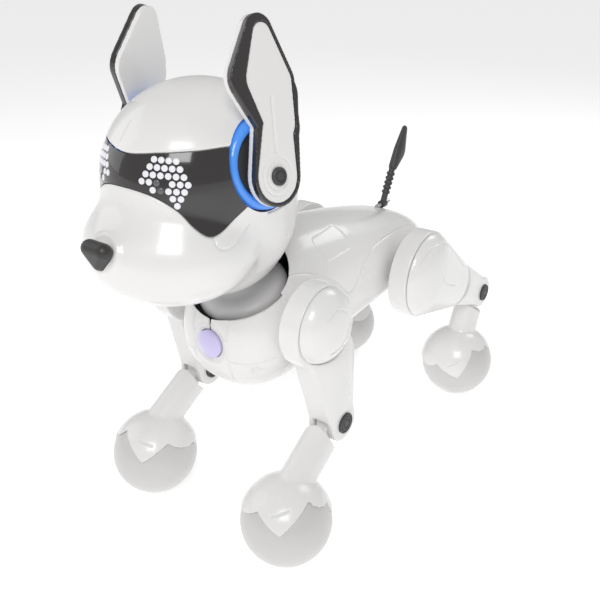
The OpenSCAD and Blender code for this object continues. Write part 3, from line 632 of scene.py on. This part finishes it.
def head_shell(name, table, pole, rows, cols=520):
    lon = np.linspace(-180, 180, cols, endpoint=False)[None]
    way = 1 if pole > 0 else -1
    edge = window_edge(lon, table) + way * 0.22
    t = np.linspace(0, 1, rows)[:, None] ** 1.25
    lat = edge + (pole - edge) * t
    outer = head_point(lon + 0 * lat, lat)
    from_edge = np.abs(lat - edge) * 0.85
    depth = 0.6 * np.clip(1 - from_edge / 0.9, 0, 1) ** 2
    if pole > 0:
        depth += groove(0.5, away_from(outer, head_point(np.full(40, -7.0), np.linspace(43, 52, 40))), 0.45)
    else:
        tab = curved([(47, 3.5), (49, -1.5), (55, -3), (63, -0.5), (71, 5)])
        for s in (-1, 1):
            depth += groove(0.55, away_from(outer, head_point(s * tab[:, 0], tab[:, 1])), 0.5)
        to_nose = np.linalg.norm((outer - nose_at) * (1, 0.7, 1.05), axis=-1)
        depth -= 0.9 * np.exp(-((to_nose - 9.2) / 1.5) ** 2)
    outer = outer - normals_of(outer, wrap=True) * depth[..., None]
    piece = solid(name, *walled(outer, head_point(lon + 0 * lat, lat, 2.2), wrap=True))
    cuts = [pod_room(s) for s in (-1, 1)]
    if pole < 0:
        chin = turned([[0, 0], [20, 0], [20, 26], [0, 26]], (0, 0, -45), (0, 0, 1), 96)
        cuts.append(moved((chin[0] * (1, 1.2, 1), chin[1]), Matrix.Rotation(neck_lean, 3, "X"), nod_at))
        cuts.append(nose_form(0.2))
    carve(piece, *[solid("cut", *c) for c in cuts])
    return piece


def at_ear(shape, s):
    """Takes a shape from the ear's own frame, x rearwards, y up and z outwards, to its place."""
    turn = Matrix.Rotation(math.radians(-8), 3, "Z") @ Matrix.Rotation(math.radians(-11), 3, "Y")
    axes = Matrix(((0, 0, 1), (1, 0, 0), (0, 1, 0)))
    return mirrored(moved(shape, turn @ axes, (45.5, -89, 231)), s)


def pod_room(s):
    """Round hole for an ear pod."""
    return at_ear(turned([[0, -20], [23.1, -20], [23.1, 20], [0, 20]], (0, 6, 0), (0, 0, 1), 160), s)


def nose_form(grow=0.0):
    lobes = [ball(nose_at + (s * 4.6, -1.2, 2.6), 4.2 + grow, segments=40) for s in (-1, 1)]
    return wrapped(*lobes, ball(nose_at + (0, -0.6, -4.2), 3.4 + grow, segments=40))


skull = head_shell("skull_moulding", visor_top, 90, 130)
finish_piece(skull, "head", white_shell, ("head_dome",))
jaw = head_shell("jaw_moulding", visor_low, -90, 210)
finish_piece(jaw, "head", white_shell, ("jaw_shell",))

# The nose is a soft black rounded triangle, plugged into the muzzle.
nose_plug = turned([[0, 0], [3.8, 0], [3.8, 7], [0, 7]], nose_at, (0, 1, 0), 64)
nose = blended("nose_moulding", [nose_form(), nose_plug], grain=0.25, rounds=3)
finish_piece(nose, "head", nose_rubber, ("nose",))

# ---------------------------------------------------------------- visor and eyes
# A gloss black band fills the window. Each eye is a patch of small round lamps set in
# rings, and the lamps of the pupil stay dark.

lon = np.linspace(-visor_end, visor_end, 420)[None]
low = window_edge(lon, visor_low) + 0.25
high = window_edge(lon, visor_top) - 0.25
lat = low + (high - low) * np.linspace(0, 1, 90)[:, None]
lon = lon + 0 * lat
visor = solid("visor_moulding", *walled(head_point(lon, lat, 0.4), head_point(lon, lat, 2.2)))
carve(visor, *[solid("cut", *pod_room(s)) for s in (-1, 1)])
finish_piece(visor, "head", black_gloss, ("visor",))

lamp_lit = moulding("lamp_lit", (0.80, 0.80, 0.82), (0.72, 0.72, 0.76), 0.25)
lamp_lit.node_tree.nodes["Principled BSDF"].inputs["Emission Color"].default_value = (0.9, 0.92, 1, 1)
lamp_lit.node_tree.nodes["Principled BSDF"].inputs["Emission Strength"].default_value = 0.12
lamp_dark = moulding("lamp_dark", (0.10, 0.10, 0.11), (0.14, 0.13, 0.14), 0.2, coat=0.4)
eye_lon, eye_lat, lamp_pitch = 24, 28.5, 3.6
lamp_profile = [[0, -0.3], [1.5, -0.3], [1.5, 0.05], [1.25, 0.27], [0.8, 0.38], [0, 0.42]]
lamps = {"eye_lamps": [], "pupil_lamps": []}
for s in (-1, 1):
    for q in range(-3, 4):
        for w in range(-3, 4):
            u, v = lamp_pitch * (q + w / 2), lamp_pitch * w * math.sqrt(3) / 2
            lon_at, lat_at = s * (eye_lon + u / 0.92), eye_lat + v
            if abs(q + w) > 3 or (q == 0 and w == 0) or lat_at - curve(visor_low, abs(lon_at)) <= 2.2:
                continue
            centre = head_point(lon_at, lat_at, 0.24)
            sideways = head_point(lon_at + 1, lat_at) - head_point(lon_at - 1, lat_at)
            upwards = head_point(lon_at, lat_at + 1) - head_point(lon_at, lat_at - 1)
            out = np.cross(sideways, upwards)
            group = "pupil_lamps" if math.hypot(u + 2.2, v + 0.3) < 3.2 else "eye_lamps"
            lamps[group].append(turned(lamp_profile, centre, out, 24))
for name, shapes in lamps.items():
    shifts = np.cumsum([0] + [len(p) for p, _ in shapes])
    piece = solid(name, np.concatenate([p for p, _ in shapes]),
                  [tuple(int(i) + int(k) for i in f) for (_, fs), k in zip(shapes, shifts) for f in fs])
    finish_piece(piece, "head", lamp_lit if name == "eye_lamps" else lamp_dark, ("eye_leds",))

# ---------------------------------------------------------------- ear pods
# A blue light pipe runs round each ear pod, over a black bezel.

blue_light = moulding("blue_light", (0.03, 0.16, 0.62), (0.10, 0.36, 0.85), 0.14, coat=0.6)
blue_light.node_tree.nodes["Principled BSDF"].inputs["Emission Color"].default_value = (0.05, 0.25, 0.9, 1)
blue_light.node_tree.nodes["Principled BSDF"].inputs["Emission Strength"].default_value = 0.25
pipe = [
    [-2.5, -9.8], [2.6, -9.8], [2.6, -3.8], [2.3, -2.6], [1.6, -1.6], [0.8, -1.0], [0, -0.8], [-0.8, -0.95],
    [-1.6, -1.4], [-2.2, -2.0], [-2.5, -2.8],
]
for s, side in ((-1, "right"), (1, "left")):
    ring = turned([[19.5 + r, h] for r, h in pipe], (0, 6, 0), (0, 0, 1), 180)
    piece = solid(f"{side}_light_pipe", *at_ear(ring, s))
    finish_piece(piece, "head", blue_light, ("ear_light_rings",))

# ---------------------------------------------------------------- ears
# Each ear is a flat leaf on a round pod: a white back, a black frame that is widest along the
# front edge, and a pale panel with a long slot and rings round its hub.

ear_back, ear_thick = 2.5, 6.0
ear_rows = ([[1.5, 65, 8], [-8.5, 46, 10.5], [8.5, 42, 10.5], [6.5, 22, 12]],
            [[0, 0, 14.5], [4, 20, 13], [8, 36, 12]])
panel_rows = ([[3, 63.5, 5.6], [-1.5, 45, 8.8], [9.2, 42, 8.2], [6.5, 24, 9.6]],
              [[0, 0, 12.6], [4, 20, 9.8]])


def leaf(rows, low, high, grow=0.0):
    """The prisms whose union is a leaf; each runs round its circles."""
    spin = np.arange(120) * math.pi / 60
    made = []
    for circles in rows:
        rims = np.concatenate([np.c_[x + (r + grow) * np.cos(spin), y + (r + grow) * np.sin(spin)]
                               for x, y, r in circles])
        made.append(wrapped(*[(np.c_[rims, np.full(len(rims), h)], ()) for h in (low, high)]))
    return made


for s, side in ((-1, "right"), (1, "left")):
    body = f"{side}_ear"
    back = [at_ear(p, s) for p in leaf(ear_rows, 0, ear_back)]
    shell = blended(f"{side}_ear_back", back, grain=0.4, rounds=2)
    finish_piece(shell, body, white_shell, (f"{side}_ear_shell",))
    band = blended(f"{side}_ear_band", [at_ear(p, s) for p in leaf(ear_rows, ear_back, ear_thick)],
                   [at_ear(p, s) for p in leaf(panel_rows, 0, 10, 0.2)], grain=0.4, rounds=2, last=1)
    finish_piece(band, body, black_gloss, (f"{side}_ear_frame",))
    slot_cut = moved(block((-0.8, 11, 4.6), (0.8, 37, 9)), Matrix.Rotation(math.radians(-5), 3, "Z"))
    rings = []
    for r in (6.4, 9.2):
        ring_profile = [[r - 0.35, 5.1], [r + 0.35, 5.1], [r + 0.35, 7], [r - 0.35, 7]]
        rings.append(turned(ring_profile, (0, 0, 0), (0, 0, 1), 96))
    panel = blended(f"{side}_ear_face", [at_ear(p, s) for p in leaf(panel_rows, ear_back, ear_thick - 0.5)],
                    [at_ear(slot_cut, s)] + [at_ear(r, s) for r in rings], grain=0.35, rounds=2, last=1)
    finish_piece(panel, body, white_shell, (f"{side}_ear_panel",))

# ---------------------------------------------------------------- legs
# Every leg has a thigh on the hip shaft, a shin in its fork and a ball foot. The front thighs
# carry a round shoulder dome, the rear ones an egg-shaped cover.

front_leg = dict(hip=(-58, 139), knee=(-45, 70), foot=-93, pitch=0, hip_r=25, slot_turn=-20,
                 bulges=((-47, 110, 20, 10), (-45, 90, 15.5, 10)), seats=((-60, 141, 22),))
rear_leg = dict(hip=(64, 126), knee=(152, 80), foot=132, pitch=28, hip_r=30, slot_turn=10,
                bulges=((116, 101, 16, 10), (134, 91, 12, 9.5)), seats=((64, 126, 29), (106.24, 103.92, 19)))
leg_in, leg_mid, knee_half, lug, knee_r = 43, 53.5, 9.2, 4.5, 12
foot_x, foot_r, foot_z = 54.5, 28, 26.3
toe_edge = [(-45, 9), (-27, 9), (-14, 18), (0, 10), (14, 22), (27, 12), (45, 12)]


def pillow(y, z, r, x, half):
    return ball((x, y, z), r, half / r)


def toe_frame(leg, s):
    """Turn of the foot cover: pitched on the rear legs, and its point faces the dog's left on all four."""
    return Matrix.Rotation(math.radians(leg["pitch"]), 3, "X") @ Matrix.Rotation(math.radians(30 * s), 3, "Z")


def toe_room(leg, s, above, drop):
    """Everything below, or above, the pointed edge of the foot cover."""
    far = 60 if above else -60
    edge = [(x, z - drop) for x, z in toe_edge]
    front = prism(edge + [(45, far), (-45, far)], 0, 45)
    front = (front[0][:, [0, 2, 1]] * (1, -1, 1), front[1])
    back = block((-45, -0.1, min(far, 7.5 - drop)), (45, 45, max(far, 7.5 - drop)))
    return [mirrored(moved(p, toe_frame(leg, s), (foot_x, leg["foot"], foot_z)), s) for p in (front, back)]


for where, leg in (("front", front_leg), ("rear", rear_leg)):
    hip, knee, foot = leg["hip"], leg["knee"], np.array([foot_x, leg["foot"], foot_z])
    knee_at = np.array([leg_mid, *knee])
    down = foot + (0, 0, 16) - knee_at
    down = down / np.linalg.norm(down)
    for s, side in ((-1, "right"), (1, "left")):
        name = f"{where}_{side}"
        thigh_parts = [
            rod_x(*hip, 15, 39.6, leg_in + 1),
            rod_x(*hip, leg["hip_r"], leg_in, 56, 160),
            wrapped(rod_x(*hip, leg["hip_r"] * 0.72, leg_in + 0.4, 55.6),
                    *[pillow(y, z, r, leg_mid, half) for y, z, r, half in leg["bulges"]],
                    rod_x(*knee, knee_r - 1, leg_mid - knee_half + 1, leg_mid + knee_half - 1)),
            rod_x(*knee, knee_r, leg_mid - knee_half, leg_mid + knee_half),
        ]
        slot_turn = Matrix.Rotation(math.radians(leg["slot_turn"]), 3, "X")
        room = moved(block((-5, -16, -30), (5, 16, 0)), slot_turn, knee_at)
        seat = wrapped(*[rod_x(y, z, r + 0.3, 56, 80) for y, z, r in leg["seats"]])
        thigh_cuts = [rod_x(*knee, knee_r + 1.2, leg_mid - lug - 0.3, leg_mid + lug + 0.3), room, seat]
        thigh = blended(f"{name}_thigh_moulding", [mirrored(p, s) for p in thigh_parts],
                        [mirrored(p, s) for p in thigh_cuts], 0.6, 6, 2)
        finish_piece(thigh, f"{name}_thigh", white_shell, (f"{name}_thigh_frame",))

        if where == "front":
            cover_form = pillow(-60, 141, 22, 56, 14)
        else:
            cover_form = wrapped(pillow(64, 126, 29, 55, 14), pillow(106.24, 103.92, 19, 56, 10))
        cover = blended(f"{name}_thigh_dome", [mirrored(cover_form, s)],
                        [mirrored(block((0, -200, 0), (56.3, 200, 200)), s)], 0.45, 2, 2)
        if where == "front":
            marks = (curved([(-70, 151), (-62, 154), (-54, 150), (-52, 142), (-57, 134), (-66, 129)]),
                     curved([(-66, 129), (-58, 130), (-50, 127)]))
        else:
            marks = (curved([(40, 140), (52, 148), (66, 150), (80, 144), (94, 132), (106, 120)]),
                     curved([(60, 136), (66, 124), (76, 117), (88, 112)]))
        for mark in marks:
            engrave(cover, traced(cover, mark[::2], [1, 2], (s, 0, 0)), 0.6, 0.55)
        finish_piece(cover, f"{name}_thigh", white_shell, (f"{name}_thigh_cover",))

        shin_form = [
            wrapped(ball(knee_at + down * 14, 10.6), ball(foot + (0, 0, 16), 10.6)),
            ball(foot, foot_r, segments=96),
        ]
        fork_room = [rod_x(*knee, knee_r + 3.6, 30, 80)] + toe_room(leg, 1 if s > 0 else -1, False, 0)
        shin_cuts = [mirrored(fork_room[0], s)] + fork_room[1:]
        shin = blended(f"{name}_shin_moulding", [mirrored(p, s) for p in shin_form], shin_cuts, 0.55, 14, 1)
        x, z = np.linspace(-5, 4, 40), np.linspace(19, 21.5, 40)
        slit = np.stack([x, -np.sqrt(foot_r ** 2 - x ** 2 - z ** 2), z], -1)
        engrave(shin, mirrored(moved((slit, ()), toe_frame(leg, s), foot), s)[0], 0.8, 0.6)
        finish_piece(shin, f"{name}_shin", white_shell, ())
        lug_form = [rod_x(*knee, 10.6, leg_mid - lug, leg_mid + lug),
                    wrapped(rod_x(*knee, 6, leg_mid - lug, leg_mid + lug), ball(knee_at + down * 19, 4.2))]
        pin_bore = mirrored(rod_x(*knee, 3.5, 40, 67), s)
        tongue = blended(f"{name}_shin_tongue", [mirrored(p, s) for p in lug_form], [pin_bore], 0.45, 2)
        finish_piece(tongue, f"{name}_shin", white_shell, (f"{name}_shin",))
        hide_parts(f"{name}_shin")

        pad_cuts = toe_room(leg, s, True, 0.35) + [mirrored(p, s) for p in (
            block((0, foot[1] - 45, -30), (130, foot[1] + 45, 0)),
            block((foot_x - 3.3, foot[1] - 9, -5), (foot_x + 3.3, foot[1] + 9, 20)),
            rod_x(foot[1], 8, 2.3, foot_x - 7, foot_x + 7, 32),
        )]
        pad_form = mirrored(ball(foot, foot_r - 0.9, segments=96), s)
        pad = blended(f"{name}_foot_moulding", [pad_form], pad_cuts, 0.6, 2, 1)
        # The foot pads take the sole colour: slightly grey plastic, painted darker as painted shade under the
        # feet.
        finish_piece(pad, f"{name}_shin", sole_grey_painted_shade, (f"{name}_foot_pad",))

# ---------------------------------------------------------------- joint caps
# The heads of the knee pins and of the ear pins are black caps turned with two fine rings.

cap_profile = [
    [0, 0], [6.5, 0], [6.5, 1.2], [6.1, 1.6], [5.3, 1.6], [5.0, 1.1], [4.6, 1.1], [4.3, 1.6], [3.3, 1.6],
    [3.0, 1.1], [2.6, 1.1], [2.3, 1.55], [0, 1.6],
]
hub_profile = [
    [0, 5.5], [4.4, 5.5], [4.4, 6.7], [4.0, 7.1], [3.0, 7.1], [2.8, 6.7], [2.3, 6.7], [2.1, 7.1], [0, 7.1],
]
for where, leg in (("front", front_leg), ("rear", rear_leg)):
    for s, side in ((-1, "right"), (1, "left")):
        rod = rod_x(*leg["knee"], 3, leg_mid - knee_half, leg_mid + knee_half, 64)
        pin = {"rod": rod}
        for label, way in (("inner_cap", -1), ("outer_cap", 1)):
            cap_at = (leg_mid + way * knee_half, *leg["knee"])
            pin[label] = turned(cap_profile, cap_at, (way, 0, 0), 96)
        for label, shape in pin.items():
            name = f"{where}_{side}"
            piece = solid(f"{name}_knee_{label}", *mirrored(shape, s))
            finish_piece(piece, f"{name}_thigh", black_matte, (f"{name}_knee_pin",))
for s, side in ((-1, "right"), (1, "left")):
    stem = turned([[0, -8], [3, -8], [3, 5.5], [0, 5.5]], (0, 0, 0), (0, 0, 1), 64)
    hub = turned(hub_profile, (0, 0, 0), (0, 0, 1), 96)
    for label, shape in (("stem", stem), ("hub", hub)):
        piece = solid(f"{side}_ear_{label}", *at_ear(shape, s))
        finish_piece(piece, f"{side}_ear", black_matte, (f"{side}_ear_pin",))

# ---------------------------------------------------------------- everything inside and the small parts
# The inner works and small hardware keep their own meshes: motors, board, speaker, cells,
# screws, pins, rollers, the switch, the battery door and the tail.

steel = moulding("steel", (0.62, 0.63, 0.65), (0.54, 0.55, 0.57), 0.28, 0.15, 600.0, 0.05, metallic=1.0)
wheel_rubber = moulding("wheel_rubber", (0.035, 0.035, 0.035), (0.055, 0.055, 0.055), 0.6, 0.1, 500.0, 0.2)
motor_case = moulding("motor_case", (0.27, 0.28, 0.30), (0.22, 0.23, 0.25), 0.4)
circuit_board = moulding("circuit_board", (0.01, 0.11, 0.05), (0.02, 0.16, 0.07), 0.35)
speaker_cone = moulding("speaker_cone", (0.015, 0.015, 0.017), (0.03, 0.03, 0.032), 0.6)
cell_wrap = moulding("cell_wrap", (0.03, 0.10, 0.34), (0.05, 0.14, 0.40), 0.25)
paints = {
    "white_shell": white_shell, "pale_shell": pale_shell, "black_gloss": black_gloss,
    "black_matte": black_matte, "lamp_plastic": lamp_lit, "blue_light": blue_light,
    "lavender_lens": lavender_lens, "steel": steel,
    "wheel_rubber": wheel_rubber, "motor_case": motor_case, "circuit_board": circuit_board,
    "speaker_cone": speaker_cone, "cell_wrap": cell_wrap,
}
for part in frame["record"]["subparts"]:
    node = frame["nodes"][part["node"]]
    node.data.materials.clear()
    node.data.materials.append(paints[part["material_slot"]])
